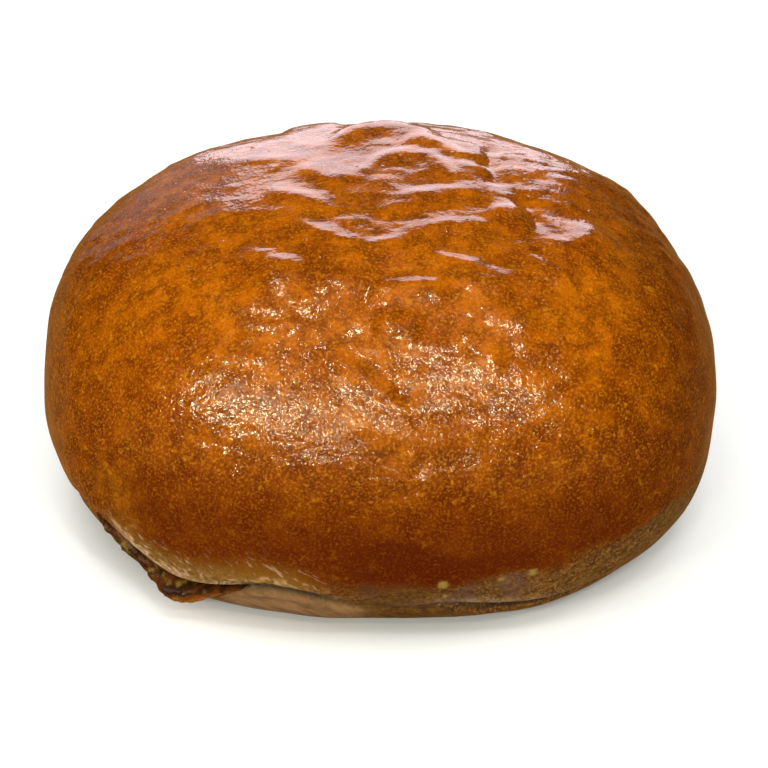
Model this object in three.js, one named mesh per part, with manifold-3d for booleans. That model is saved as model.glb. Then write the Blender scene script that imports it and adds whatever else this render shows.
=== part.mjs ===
// A glazed filled bun that stands on its flat base, with its seam split open at the lower left.
// Millimetres, +Z up. The origin is on the base, on the bun's own axis. The front is -Y.
import * as THREE from "three";
import { mergeVertices } from "three/addons/utils/BufferGeometryUtils.js";
import Module from "manifold-3d";

const wasm = await Module();
wasm.setup();

// Driving dimensions of the bun
const BUN_RADIUS = 54; // mean plan radius at the widest level
const BUN_HEIGHT = 57;
const WIDEST_LEVEL = 20.6;
const BASE_SHARE = 0.758; // radius of the flat base over the plan radius
const CROWN_WIDTH_POWER = 2.72; // powers of the rounded profile, where 2 is an ellipse
const CROWN_HEIGHT_POWER = 2.58;
const FOOT_POWER = 2.2;

// How the plan departs from a circle: lobes round the edge, their share of the radius, a lobe's bearing
const LOBES = [
  { count: 2, share: 0.075, bearing: -4 },
  { count: 3, share: 0.0175, bearing: -38.5 },
  { count: 4, share: 0.0185, bearing: -38.5 },
];

// Where the foot draws in further: bearing and spread in degrees, share of the radius lost at the base
const TUCKS = [
  { bearing: -158, spread: 18, share: 0.11 },
  { bearing: -40, spread: 16, share: 0.04 },
];

// A broad swelling of the flank: its level, its reach up and down, and its rise
const SHOULDER = { bearing: 26, spread: 9, level: 44, reach: 7, rise: 1.1 };

// The seam runs round the foot at a level that rises at the split and beside it
const SEAM_LEVEL = 6;
const SEAM_RISES = [
  { bearing: -148, spread: 15, rise: 9 },
  { bearing: -111, spread: 15.5, rise: 5.4 },
  { bearing: -76, spread: 10, rise: 2 },
];
const SEAM_DEPTH = 0.35;
const SEAM_REACH = 0.9; // half width of the crease
const SEAM_OPENINGS = [
  { bearing: -110, spread: 12, depth: 1.1 },
  { bearing: -67, spread: 11, depth: 0.8 },
];
const LIP_RISE = 0.5; // swollen edges of the seam where it gapes

// Folds of the baked skin: the crest's middle and heading in plan, half its length, how far its ends
// bend to the left of the heading, its rise, which is below nought for a groove, and its reach before
// the crest and behind it
const FOLDS = [
  { x: -2.5, y: -15.2, heading: -6, half: 15, bend: 8, rise: 0.75, front: 5, back: 2.8 },
  { x: 9.6, y: -0.8, heading: 30, half: 12.5, bend: 1, rise: 0.9, front: 3, back: 3 },
  { x: 11, y: -9.8, heading: 14, half: 8.5, bend: 1, rise: 0.6, front: 2.5, back: 3 },
  { x: -12.6, y: -1.8, heading: -35, half: 8, bend: 0, rise: 0.65, front: 2.5, back: 2.6 },
  { x: -9.5, y: 6.2, heading: -47, half: 6.5, bend: 0, rise: 0.5, front: 1.7, back: 5 },
  { x: 4.5, y: 14.4, heading: 0, half: 7.5, bend: -5, rise: 0.6, front: 3, back: 2.2 },
  { x: 1, y: 27, heading: 0, half: 11, bend: -7, rise: 1.3, front: 5.2, back: 3.4 },
  { x: -12, y: 36, heading: 0, half: 6, bend: 0, rise: 0.8, front: 6.5, back: 4 },
  { x: 19, y: 14, heading: 92, half: 11, bend: 0, rise: -0.7, front: 2, back: 2 },
  { x: 24.6, y: -3, heading: -78, half: 7, bend: 0, rise: -0.7, front: 1.8, back: 1.8 },
  { x: 21.6, y: -5, heading: 0, half: 4, bend: 0, rise: 0.7, front: 3, back: 3.4 },
  { x: 32.5, y: -10, heading: 45, half: 9, bend: 0, rise: 1.1, front: 4, back: 4.2 },
  { x: 27, y: -19.5, heading: -10, half: 5.5, bend: 0, rise: 0.95, front: 3, back: 3 },
  { x: 16, y: -20.3, heading: -19, half: 12, bend: 1, rise: 0.6, front: 3, back: 1.6 },
  { x: 4.5, y: -25, heading: 5, half: 7, bend: 0, rise: 0.9, front: 3, back: 2.1 },
  { x: -16, y: -18.4, heading: -28, half: 8, bend: 0, rise: 0.65, front: 3, back: 2 },
  { x: -20, y: -5, heading: -10, half: 12, bend: 0, rise: 0.45, front: 4, back: 4 },
  { x: 20, y: -29, heading: -8, half: 5, bend: 0, rise: 0.7, front: 2.5, back: 1.8 },
  { x: 3, y: -31, heading: -5, half: 4.5, bend: 0, rise: 0.6, front: 2.5, back: 1.6 },
  { x: 4, y: -42.6, heading: -6, half: 14.5, bend: 5.2, rise: 0.8, front: 1.3, back: 1.6 },
];

// Driving dimensions of the filling: a flat lens inside, with a tongue that runs out at the split
const FILLING_SHARE = 0.58; // hidden reach over the plan radius
const FILLING_BOTTOM = 3;
const FILLING_TOP = 18;
const FILLING_POWER = 6;
const TONGUE_PROUD = 0.4; // how far its face stands out from the foot
const TONGUE_FULLNESS = 0.95; // the tongue is full where the pocket is this far open
const MOUTH_LEFT = { from: -152, to: -144.5 }; // bearings over which the split opens
const MOUTH_RIGHT = { from: -114, to: -119.5 };
const MOUTH_BEARING = -131;
const PARTING_LEFT = { shut: -148, full: -131 }; // bearings over which the lips part
const PARTING_RIGHT = { shut: -114.5, full: -127 };
const PARTING_TAPER = 1.5; // the lips come together in a point at the right
const MOUTH_SHARE = 1.12; // the pocket runs out past the crust
const MOUTH_FLARE = 6; // and widens only near its rim
const POCKET_GAP = 0.3;
const LUMP_RISE = 0.55;
const LUMP_TURNS = 40; // lumps in a full turn
const LUMP_TWIST = 0.9; // radians of phase for each millimetre of height
const DROP = { bearing: -130, spread: 4.8, level: 5.2, reach: 3.4, proud: 3.2, sag: 1.2, edge: 4 };

// Fineness of the meshes
const BUN_SEGMENTS = 96;
const BASE_RINGS = 3;
const FOOT_LEVELS = [0, 1.2, 2.8, 4.6, 6, 7.4, 9.5, 12, 15, 18];
const CROWN_RINGS = 27;
const CROWN_SAMPLES = 200;
const FILLING_SEGMENTS = 96;
const FILLING_RINGS = 12;
const FILLING_CROWDING = 0.75; // how much the segments crowd together at the split

const rad = THREE.MathUtils.degToRad;
const { clamp, lerp, smoothstep } = THREE.MathUtils;
const swell = (gap, reach) => Math.exp(-((gap / reach) ** 2));
const wrapTurn = (angle) => Math.atan2(Math.sin(angle), Math.cos(angle));
const turnSwell = (azimuth, { bearing, spread }) =>
  swell(wrapTurn(azimuth - rad(bearing)), rad(spread));
const sumOver = (list, term) => list.reduce((sum, item) => sum + term(item), 0);

// Plan radius at the widest level
function planRadius(azimuth) {
  const lobe = ({ count, share, bearing }) => share * Math.cos(count * (azimuth - rad(bearing)));
  return BUN_RADIUS * (1 + sumOver(LOBES, lobe));
}

// Radius of the foot at a height, over the plan radius
function footShare(height) {
  const drop = (1 - height / WIDEST_LEVEL) ** (FOOT_POWER / 2);
  return BASE_SHARE + (1 - BASE_SHARE) * Math.sqrt(1 - drop * drop) ** (2 / FOOT_POWER);
}

// Share of the radius left where the foot is tucked in
function tuckShare(azimuth, height) {
  const low = Math.max(0, 1 - height / WIDEST_LEVEL);
  return 1 - low * low * sumOver(TUCKS, (tuck) => tuck.share * turnSwell(azimuth, tuck));
}

function seamHeight(azimuth) {
  return SEAM_LEVEL + sumOver(SEAM_RISES, (part) => part.rise * turnSwell(azimuth, part));
}

// Moves a level of the foot with the seam, so that one ring of points lies along it
function levelAlongSeam(azimuth, level) {
  const nearSeam =
    level < SEAM_LEVEL ? level / SEAM_LEVEL : (WIDEST_LEVEL - level) / (WIDEST_LEVEL - SEAM_LEVEL);
  return level + nearSeam * (seamHeight(azimuth) - SEAM_LEVEL);
}

// Profile of the bun as a round loaf, from the middle of the base to the top
function bunProfile() {
  const crownPoint = (i) => {
    const angle = (0.5 * Math.PI * i) / CROWN_SAMPLES;
    const radius = BUN_RADIUS * Math.cos(angle) ** (2 / CROWN_WIDTH_POWER);
    const rise = (BUN_HEIGHT - WIDEST_LEVEL) * Math.sin(angle) ** (2 / CROWN_HEIGHT_POWER);
    return new THREE.Vector2(i === CROWN_SAMPLES ? 0 : radius, WIDEST_LEVEL + rise);
  };
  const baseRadius = BUN_RADIUS * BASE_SHARE;
  const base = Array.from(
    { length: BASE_RINGS },
    (_, i) => new THREE.Vector2((baseRadius * i) / BASE_RINGS, 0),
  );
  const foot = FOOT_LEVELS.map((level) => new THREE.Vector2(BUN_RADIUS * footShare(level), level));
  const samples = Array.from({ length: CROWN_SAMPLES + 1 }, (_, i) => crownPoint(i));
  const crown = new THREE.SplineCurve(samples).getSpacedPoints(CROWN_RINGS);
  return [...base, ...foot, ...crown];
}

// A lathe about +Z with its shared points merged
function turned(profile, segments) {
  const lathe = new THREE.LatheGeometry(profile, segments).rotateX(Math.PI / 2);
  lathe.deleteAttribute("normal");
  lathe.deleteAttribute("uv");
  return mergeVertices(lathe);
}

// Moves every point of a geometry to where a function of its azimuth, radius and height sends it
function reshape(geometry, place) {
  const position = geometry.getAttribute("position");
  const point = new THREE.Vector3();
  for (let i = 0; i < position.count; i++) {
    point.fromBufferAttribute(position, i);
    const azimuth = Math.atan2(point.y, point.x);
    const moved = place(azimuth, Math.hypot(point.x, point.y), point.z);
    position.setXYZ(
      i,
      moved.radius * Math.cos(moved.azimuth),
      moved.radius * Math.sin(moved.azimuth),
      moved.height,
    );
  }
  return geometry;
}

// Presses the round loaf into its oval plan, tucks its foot in and lets the foot's rings follow the seam
function bunPlace(azimuth, radius, height) {
  const onFoot = height > 0 && height < WIDEST_LEVEL;
  const level = onFoot ? levelAlongSeam(azimuth, height) : height;
  const round = onFoot ? BUN_RADIUS * footShare(level) : radius;
  const oval = planRadius(azimuth) / BUN_RADIUS;
  return { azimuth, radius: round * oval * tuckShare(azimuth, level), height: level };
}

function foldRise(fold, x, y) {
  const along = Math.cos(rad(fold.heading));
  const across = Math.sin(rad(fold.heading));
  const u = ((x - fold.x) * along + (y - fold.y) * across) / fold.half;
  if (Math.abs(u) >= 1) return 0;
  const behind = (y - fold.y) * along - (x - fold.x) * across - fold.bend * u * u;
  return fold.rise * (1 - u ** 4) ** 2 * swell(behind, behind > 0 ? fold.back : fold.front);
}

// How far the seam's crease cuts in, with swollen lips where it gapes
function seamRise(azimuth, height) {
  const gape = sumOver(SEAM_OPENINGS, (part) => part.depth * turnSwell(azimuth, part));
  const gap = Math.abs(height - seamHeight(azimuth));
  const crease = (SEAM_DEPTH + gape) * swell(gap, SEAM_REACH);
  return LIP_RISE * gape * swell(gap - 2 * SEAM_REACH, SEAM_REACH) - crease;
}

function shoulderRise(azimuth, height) {
  return SHOULDER.rise * turnSwell(azimuth, SHOULDER) * swell(height - SHOULDER.level, SHOULDER.reach);
}

// Relief of the skin, pushed out along the surface
function reliefAt({ x, y, z }) {
  if (z <= 0) return 0;
  const azimuth = Math.atan2(y, x);
  if (z < WIDEST_LEVEL) return seamRise(azimuth, z);
  return shoulderRise(azimuth, z) + sumOver(FOLDS, (fold) => foldRise(fold, x, y));
}

function pushOut(geometry, rise) {
  geometry.computeVertexNormals();
  const position = geometry.getAttribute("position");
  const normal = geometry.getAttribute("normal");
  const point = new THREE.Vector3();
  const outward = new THREE.Vector3();
  for (let i = 0; i < position.count; i++) {
    point.fromBufferAttribute(position, i);
    outward.fromBufferAttribute(normal, i);
    point.addScaledVector(outward, rise(point));
    position.setXYZ(i, point.x, point.y, point.z);
  }
  geometry.deleteAttribute("normal");
  return geometry;
}

function bunGeometry() {
  const loaf = reshape(turned(bunProfile(), BUN_SEGMENTS), bunPlace);
  return pushOut(loaf, reliefAt);
}

// How far the lips part at a bearing, as a share of the height from the filling's underside to the seam
function lipParting(azimuth) {
  const bearing = THREE.MathUtils.radToDeg(wrapTurn(azimuth));
  const fromShut = ({ shut, full }) => clamp((bearing - shut) / (full - shut), 0, 1);
  const left = fromShut(PARTING_LEFT);
  const round = Math.sqrt(left * (2 - left));
  return Math.min(round, fromShut(PARTING_RIGHT) ** PARTING_TAPER);
}

// How far out the tongue has come at a bearing, from the hidden lens at 0 to the face at 1
function mouthOpen(azimuth) {
  const bearing = THREE.MathUtils.radToDeg(azimuth);
  const left = smoothstep(bearing, MOUTH_LEFT.from, MOUTH_LEFT.to);
  const right = 1 - smoothstep(bearing, MOUTH_RIGHT.to, MOUTH_RIGHT.from);
  return left * right;
}

// Lumps and the hanging drop on the face of the tongue
function tongueProud(azimuth, height) {
  const lumps = Math.sin(LUMP_TURNS * azimuth + LUMP_TWIST * height);
  const hang = turnSwell(azimuth, DROP) * swell(height - DROP.level, DROP.reach);
  return TONGUE_PROUD + LUMP_RISE * lumps + DROP.proud * hang;
}

// The filling, or with a gap the pocket that it lies in, which runs out past the crust
function fillingGeometry(gap) {
  const isPocket = gap > 0;
  const half = Array.from({ length: FILLING_RINGS + 1 }, (_, i) => {
    const angle = (Math.PI * i) / FILLING_RINGS - Math.PI / 2;
    const rise = Math.sign(angle) * Math.abs(Math.sin(angle)) ** (2 / FILLING_POWER);
    const atPole = i === 0 || i === FILLING_RINGS;
    return new THREE.Vector2(atPole ? 0 : Math.cos(angle) ** (2 / FILLING_POWER), rise);
  });
  const place = (turn, radius, rise) => {
    const fromMouth = wrapTurn(turn - rad(MOUTH_BEARING));
    const azimuth = rad(MOUTH_BEARING) + fromMouth - FILLING_CROWDING * Math.sin(fromMouth);
    const open = mouthOpen(wrapTurn(azimuth));
    const seam = seamHeight(azimuth) - POCKET_GAP;
    const top = lerp(FILLING_TOP, seam, open) + gap;
    const sag = DROP.sag * open * turnSwell(azimuth, DROP) * (isPocket ? 1 : radius ** DROP.edge);
    const lip = lerp(seam, FILLING_BOTTOM, lipParting(azimuth));
    const bottom = lerp(FILLING_BOTTOM, lip, open) - sag - gap;
    const height = lerp(bottom, top, 0.5 * (rise + 1));
    const plan = planRadius(azimuth);
    const foot = plan * footShare(Math.max(height, 0)) * tuckShare(azimuth, height);
    const face = foot + tongueProud(azimuth, height);
    const reach = lerp(plan * FILLING_SHARE, face, Math.min(1, open / TONGUE_FULLNESS));
    const past = isPocket ? open * (plan * MOUTH_SHARE - face) * radius ** MOUTH_FLARE : 0;
    return { azimuth, radius: radius * (reach + gap) + past, height };
  };
  return reshape(turned(half, FILLING_SEGMENTS), place);
}

function toSolid(geometry) {
  const vertProperties = new Float32Array(geometry.getAttribute("position").array);
  const index = geometry.getIndex().array;
  const kept = [];
  for (let i = 0; i < index.length; i += 3) {
    const [a, b, c] = index.slice(i, i + 3);
    if (a !== b && b !== c && c !== a) kept.push(a, b, c);
  }
  const triVerts = new Uint32Array(kept);
  return new wasm.Manifold(new wasm.Mesh({ numProp: 3, vertProperties, triVerts }));
}

function toGeometry(solid) {
  const { vertProperties, triVerts } = solid.getMesh();
  const geometry = new THREE.BufferGeometry();
  geometry.setAttribute("position", new THREE.BufferAttribute(vertProperties, 3));
  geometry.setIndex(new THREE.BufferAttribute(triVerts, 1));
  geometry.computeVertexNormals();
  return geometry;
}

function namedMesh(name, solid, material) {
  const mesh = new THREE.Mesh(toGeometry(solid), new THREE.MeshStandardMaterial(material));
  mesh.name = name;
  return mesh;
}

const pocket = toSolid(fillingGeometry(POCKET_GAP));
const bun = toSolid(bunGeometry()).subtract(pocket);
const filling = toSolid(fillingGeometry(0));

const part = new THREE.Group();
part.add(namedMesh("bun", bun, { color: 0x9a4f10, roughness: 0.35, metalness: 0 }));
part.add(namedMesh("filling", filling, { color: 0x3a1606, roughness: 0.25, metalness: 0 }));

export default part;
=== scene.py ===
"""A glazed filled bun with its seam split open.

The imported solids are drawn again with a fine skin, a torn rim and a wet filling.
Forms are worked out in millimetres and turned into metres when a mesh is made.
Bearings are in degrees about +Z from +X, so the front is at -90.
"""

import math
from collections import namedtuple

import bpy
import numpy as np
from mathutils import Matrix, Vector, noise


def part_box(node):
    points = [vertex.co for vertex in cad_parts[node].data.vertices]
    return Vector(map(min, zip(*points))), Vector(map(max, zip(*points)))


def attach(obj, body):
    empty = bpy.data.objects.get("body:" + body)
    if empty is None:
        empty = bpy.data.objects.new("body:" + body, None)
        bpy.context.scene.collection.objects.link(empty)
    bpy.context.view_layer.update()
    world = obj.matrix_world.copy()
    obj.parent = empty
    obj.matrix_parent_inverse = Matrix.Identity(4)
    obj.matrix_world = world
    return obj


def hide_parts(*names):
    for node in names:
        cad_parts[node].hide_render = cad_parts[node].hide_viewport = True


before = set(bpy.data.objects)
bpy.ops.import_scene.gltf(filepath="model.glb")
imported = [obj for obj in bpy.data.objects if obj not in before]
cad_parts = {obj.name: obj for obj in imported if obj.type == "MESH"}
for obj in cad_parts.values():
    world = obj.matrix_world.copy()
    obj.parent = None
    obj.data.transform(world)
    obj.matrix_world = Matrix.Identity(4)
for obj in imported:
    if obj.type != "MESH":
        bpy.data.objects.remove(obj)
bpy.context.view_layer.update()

MM = 0.001

# Form of the bun, the same as the solid's
BUN_RADIUS = 54
BUN_HEIGHT = 57
WIDEST_LEVEL = 20.6
BASE_SHARE = 0.758
CROWN_WIDTH_POWER = 2.72
CROWN_HEIGHT_POWER = 2.58
FOOT_POWER = 2.2

Lobe = namedtuple("Lobe", "count share bearing")
LOBES = (Lobe(2, 0.075, -4), Lobe(3, 0.0175, -38.5), Lobe(4, 0.0185, -38.5))

# A part of the turn: the bearing of its middle, its spread in degrees and how much of something it adds
Stretch = namedtuple("Stretch", "bearing spread amount")
TUCKS = (Stretch(-158, 18, 0.11), Stretch(-40, 16, 0.04))
SHOULDER = Stretch(26, 9, 1.1)
SHOULDER_LEVEL = 44
SHOULDER_REACH = 7

SEAM_LEVEL = 6
SEAM_RISES = (Stretch(-148, 15, 9), Stretch(-111, 15.5, 5.4), Stretch(-76, 10, 2))
SEAM_DEPTH = 0.35
SEAM_REACH = 0.9
SEAM_OPENINGS = (Stretch(-110, 12, 1.1), Stretch(-67, 11, 0.8))
LIP_RISE = 0.5

# Folds of the skin: crest's middle and heading in plan, half its length, bend of its ends, rise,
# and how far it reaches in front of the crest and behind it
Fold = namedtuple("Fold", "x y heading half bend rise front back")
FOLDS = (
    Fold(-2.5, -15.2, -6, 15, 8, 0.75, 5, 2.8),
    Fold(9.6, -0.8, 30, 12.5, 1, 0.9, 3, 3),
    Fold(11, -9.8, 14, 8.5, 1, 0.6, 2.5, 3),
    Fold(-12.6, -1.8, -35, 8, 0, 0.65, 2.5, 2.6),
    Fold(-9.5, 6.2, -47, 6.5, 0, 0.5, 1.7, 5),
    Fold(4.5, 14.4, 0, 7.5, -5, 0.6, 3, 2.2),
    Fold(1, 27, 0, 11, -7, 1.3, 5.2, 3.4),
    Fold(-12, 36, 0, 6, 0, 0.8, 6.5, 4),
    Fold(19, 14, 92, 11, 0, -0.7, 2, 2),
    Fold(24.6, -3, -78, 7, 0, -0.7, 1.8, 1.8),
    Fold(21.6, -5, 0, 4, 0, 0.7, 3, 3.4),
    Fold(32.5, -10, 45, 9, 0, 1.1, 4, 4.2),
    Fold(27, -19.5, -10, 5.5, 0, 0.95, 3, 3),
    Fold(16, -20.3, -19, 12, 1, 0.6, 3, 1.6),
    Fold(4.5, -25, 5, 7, 0, 0.9, 3, 2.1),
    Fold(-16, -18.4, -28, 8, 0, 0.65, 3, 2),
    Fold(-20, -5, -10, 12, 0, 0.45, 4, 4),
    Fold(20, -29, -8, 5, 0, 0.7, 2.5, 1.8),
    Fold(3, -31, -5, 4.5, 0, 0.6, 2.5, 1.6),
    Fold(4, -42.6, -6, 14.5, 5.2, 0.8, 1.3, 1.6),
)

# Form of the filling, the solid's with finer lumps and a thinner right tip of the mouth
FILLING_SHARE = 0.58
FILLING_BOTTOM = 3
FILLING_TOP = 18
FILLING_POWER = 6
TONGUE_PROUD = 0.4
TONGUE_FULLNESS = 0.95
MOUTH_LEFT = (-152, -144.5)
MOUTH_RIGHT = (-116.5, -112.5)
SLOT_RIGHT = (-112, -110)  # where the room inside shrinks to the split
MOUTH_BEARING = -131
PARTING_LEFT = (-148, -131)  # bearings at which the lips are shut and fully parted
PARTING_RIGHT = (-114.5, -127)
PARTING_TAPER = 1.5
PARTING_LEAST = 0.02
MOUTH_SHARE = 1.12
MOUTH_FLARE = 6
POCKET_GAP = 0.3
DROP = Stretch(-130, 4.8, 3.2)
DROP_LEVEL = 5.2
DROP_REACH = 3.4
DROP_SAG = 1.2
DROP_EDGE = 4

# Relief too fine for the solid
FINE_FOLDS = (
    Fold(9, 18, -36, 6, 0, 0.5, 2.6, 2),
    Fold(15.5, 14.8, 0, 3.4, 0, 0.4, 2, 1.5),
    Fold(16, 9.8, 0, 3.4, 0, 0.4, 2, 1.5),
    Fold(21.5, 21, 60, 5, 0, -0.6, 2.5, 2.5),
    Fold(10.5, 8, -60, 5, 0, 0.4, 2.2, 2.2),
    Fold(17, -23.9, 0, 4.5, 0, 0.75, 2.5, 1.9),
    Fold(-21, 14, -8, 9, 0, 0.22, 1.4, 2.5),
    Fold(5, -44.6, -2, 14, 3.2, 0.5, 0.9, 0.9),
    Fold(-15.4, -22.2, -15, 4.5, 0, 0.7, 4, 3),
    Fold(-6, -22.8, -30, 5, 0, 0.75, 4, 3),
    Fold(2.7, -33, -25, 4, 0, 0.3, 2.4, 2.5),
    Fold(16, -35.2, -25, 4, 0, 0.5, 1.8, 2.5),
    Fold(-1.7, -39.3, -32, 10, 0, 0.45, 1.4, 1),
    Fold(-0.4, -37.4, -32, 9, 0, -0.45, 1.2, 1.4),
)
CRACK_REACH = 0.35  # the slit in the middle of the crease, and the reach of its painted shade
CRACK_SHARE = 0.9

# Unevenness: how far it goes up and down, the size of its features and how many octaves it holds
Uneven = namedtuple("Uneven", "rise size octaves")
NOISE_FALL = 1.0
NOISE_STEP = 2.0
TORN_SIZE = (1.6, 1.6, 0.8)
SWELLS = Uneven(0.45, 16, 2)
CRINKLES = Uneven(0.24, (7, 4, 4.5), 3)
TORN_RELIEF = Uneven(0.22, TORN_SIZE, 3)
LUMPS = Uneven(0.8, 2.4, 3)
LUMP_POWER = 6  # keeps the lumps to the face of the tongue
LEAST_RADIUS = 1  # and this from dividing by nothing on the axis
CRINKLED_LEVELS = (28, 42)
SMOOTH_PLACE = (-18, 12)  # where the crown is crinkled less, in plan
SMOOTH_REACH = 20
SMOOTH_SHARE = 0.7

BLISTER_COUNT = 90
BLISTER_SEED = 7
BLISTER_SPREAD = 0.95  # share of the crown's plan over which they lie
BLISTER_RADII = (0.5, 1.1)
BLISTER_RISE = 0.16

# A round place on the skin
Spot = namedtuple("Spot", "bearing level radius")
BUBBLES = (
    Spot(-122.5, 36.2, 0.9),
    Spot(-118.5, 36, 0.8),
    Spot(-128, 32.3, 0.8),
    Spot(-117, 32.8, 0.9),
    Spot(-130, 29, 0.6),
    Spot(-140, 22.5, 0.6),
    Spot(-69, 34.6, 0.6),
    Spot(-63, 32.8, 0.9),
    Spot(-81, 33.5, 1.2),
    Spot(-88, 29.2, 1),
    Spot(-85.5, 29.8, 1),
    Spot(-83, 30.6, 0.9),
)
BUBBLE_RISE = 0.36

# Fineness of the meshes
Rows = namedtuple("Rows", "start end count")
CAP_SIDE = 120
CAP_SHARE = 0.62
FLANK_ROWS = 92
SEAM_ROWS_END = 9
FOOT_ROWS = (
    Rows(0, SEAM_LEVEL, 18),
    Rows(SEAM_LEVEL, SEAM_ROWS_END, 16),
    Rows(SEAM_ROWS_END, WIDEST_LEVEL, 34),
)
BASE_ROWS = 4
CROWD_BEARING = -105
CROWDING = 0.35
PROFILE_SAMPLES = 2000
FILLING_COLUMNS = 300
FILLING_ROWS = 48
FILLING_CROWDING = 0.75
POCKET_COLUMNS = 200
POCKET_ROWS = 28
SHARP_ANGLE = 60

# Where the colours of the skin change
CRUST_EDGE = 14.5
CRUST_EDGE_SHIFTS = (Stretch(-95, 26, -2), Stretch(-30, 24, 3.5))
CRUST_EDGE_RAGGED = Uneven(1.6, (7, 7, 4), 3)
CRUST_EDGE_FADE = 1.8
FOOT_SHADE = Stretch(-85, 16, 0.6)  # where painted shade makes the foot darker
POLISHED_LEVELS = (45, 52)
GLAZED_LEVELS = (46, 52)  # all glazed above these
GLAZED_FROM = (28, 38)  # and less below them, downwards
GLAZED_HALF_WIDTHS = (30, 48)  # and towards the sides
LEAST_GLAZE = 0.02

# Heights at the split are measured from the seam
RIM_FADE = 10  # degrees over which the torn rim and the lower lip fade out at their ends
TORN_BEARINGS = (-146, -97)
TORN_WIDTHS = (3.4, 2.2)  # at its left end and its right end
TORN_RIGHT_SHARE = 0.55  # how much of the rim is torn towards its right end
TORN_BOTTOM = (-1.2, 0)
TORN_FADE_FROM = 0.6  # share of its width at which it begins to fade
TORN_RAGGED = Uneven(2.0, TORN_SIZE, 3)
TORN_EDGE = (1.2, 2.8)  # where its yellow lower edge ends
TORN_TURN = (-134, -122)  # bearings between which it narrows and its edge turns yellow
FRAYED_HEIGHTS = (1.8, 9)  # where its loose fibres end on the crust
LIP_BEARINGS = (-126, -88)
LIP_TOP = (-0.6, 0)
CRUMB_DEPTH = 2.8  # how far in the skin ends and the crumb shows
CRUMB_LEVEL = 0.5  # above the base
CRACK_SHADE_STRENGTH = 1.3
CRACK_SHADE_SPREAD = 1.4  # of the painted shade, over the slit's reach
SHUT_PARTING = 0.1  # the lips count as shut below this

DARK_BAND = Stretch(-80, 55, 1)  # the dark band along the front, partly browned crust and partly painted shade, fully dark below its level
DARK_BAND_LEVEL = 19
DARK_BAND_REACH = 8.5
DARK_BAND_RAGGED = Uneven(3, (13, 13, 9), 3)
BAKED_AND_SHADED_LEVELS = (20, 52)  # between these the crust turns darker downwards, partly browning and partly painted shade
BAKED_AND_SHADED_SHARE = 0.86
SIDES_HALF_WIDTHS = (34, 52)  # and between these it turns evenly darker to the sides, partly brown and partly painted shade
SIDES_BROWN_AND_SHADE_SHARES = (0.45, 0.64)  # left and right, the right darker with painted shade

# Marks on the skin and painted lilac reflections on the foot; their edges fade between two shares of
# their radius
SPOTS = (
    Spot(-78, 13.6, 1),
    Spot(-77.5, 10.8, 0.5),
    Spot(-67.5, 14, 0.5),
    Spot(-62, 14.7, 0.9),
)
SPOT_FADE = (0.6, 1.1)
# painted lilac reflections on the foot
LILAC_REFLECTION_SPOTS = (Spot(-92.5, 11.5, 3), Spot(-74, 11, 2.5), Spot(-65, 12, 3))
LILAC_REFLECTION_FADE = (0.3, 1.2)
LILAC_REFLECTION_RAGGED = Uneven(0.8, 3, 3)
PATCH = Spot(-141, 21.5, 9)  # a paler place on the flank
PATCH_FADE = (0.1, 1.2)
PATCH_RAGGED = Uneven(0.5, 5, 3)
CREASE_REFLECTION = Stretch(-68, 13, 0.7)  # where a painted reflection makes the top of the crease silvery
CREASE_REFLECTION_RISE = 1.3
CREASE_REFLECTION_REACH = 1.1
AMBER = Stretch(-127, 9, 1)  # where the filling turns clear and amber
AMBER_EDGE = 0.05  # and how far down its face, where 1 is its lower edge
AMBER_FADE = 0.25

# The camera, as the photograph was taken
CAMERA_AIM = (0.76, 0, 19.1)
CAMERA_ELEVATION = 35
CAMERA_DISTANCE = 405
FRAME_PIXELS = 768
FOCAL_PIXELS = 2339
SENSOR_WIDTH = 36
CLIP_START = 10
CLIP_END = 20000


# Form of the bun


def swell(gap, reach):
    return np.exp(-((gap / reach) ** 2))


def share_of_way(value, start, end):
    return np.clip((value - start) / (end - start), 0, 1)


def smoothstep(value, start, end):
    share = share_of_way(value, start, end)
    return share * share * (3 - 2 * share)


def lerp(start, end, share):
    return start + (end - start) * share


def turn_gap(azimuth, bearing):
    gap = azimuth - math.radians(bearing)
    return np.arctan2(np.sin(gap), np.cos(gap))


def in_stretch(azimuth, stretch):
    """1 in the middle of a stretch, falling to 0 away from it."""
    return swell(turn_gap(azimuth, stretch.bearing), math.radians(stretch.spread))


def over_turn(azimuth, stretches):
    """Sum of what the stretches add at an azimuth."""
    return sum(stretch.amount * in_stretch(azimuth, stretch) for stretch in stretches)


def lobe_share(azimuth, lobe):
    return lobe.share * np.cos(lobe.count * (azimuth - math.radians(lobe.bearing)))


def plan_radius(azimuth):
    return BUN_RADIUS * (1 + sum(lobe_share(azimuth, lobe) for lobe in LOBES))


def foot_share(level):
    drop = np.clip(1 - level / WIDEST_LEVEL, 0, 1) ** (FOOT_POWER / 2)
    return BASE_SHARE + (1 - BASE_SHARE) * np.sqrt(1 - drop * drop) ** (2 / FOOT_POWER)


def tuck_share(azimuth, level):
    low = np.clip(1 - level / WIDEST_LEVEL, 0, None)
    return 1 - low * low * over_turn(azimuth, TUCKS)


def foot_radius(azimuth, level):
    return plan_radius(azimuth) * foot_share(level) * tuck_share(azimuth, level)


def seam_height(azimuth):
    return SEAM_LEVEL + over_turn(azimuth, SEAM_RISES)


def level_along_seam(azimuth, level):
    below = level / SEAM_LEVEL
    above = (WIDEST_LEVEL - level) / (WIDEST_LEVEL - SEAM_LEVEL)
    return level + np.minimum(below, above) * (seam_height(azimuth) - SEAM_LEVEL)


def crown_height(share):
    """Height of the crown at a share of the plan radius."""
    cosine = np.clip(share, 0, 1) ** (CROWN_WIDTH_POWER / 2)
    sine = np.sqrt(1 - cosine * cosine)
    return WIDEST_LEVEL + (BUN_HEIGHT - WIDEST_LEVEL) * sine ** (2 / CROWN_HEIGHT_POWER)


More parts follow.
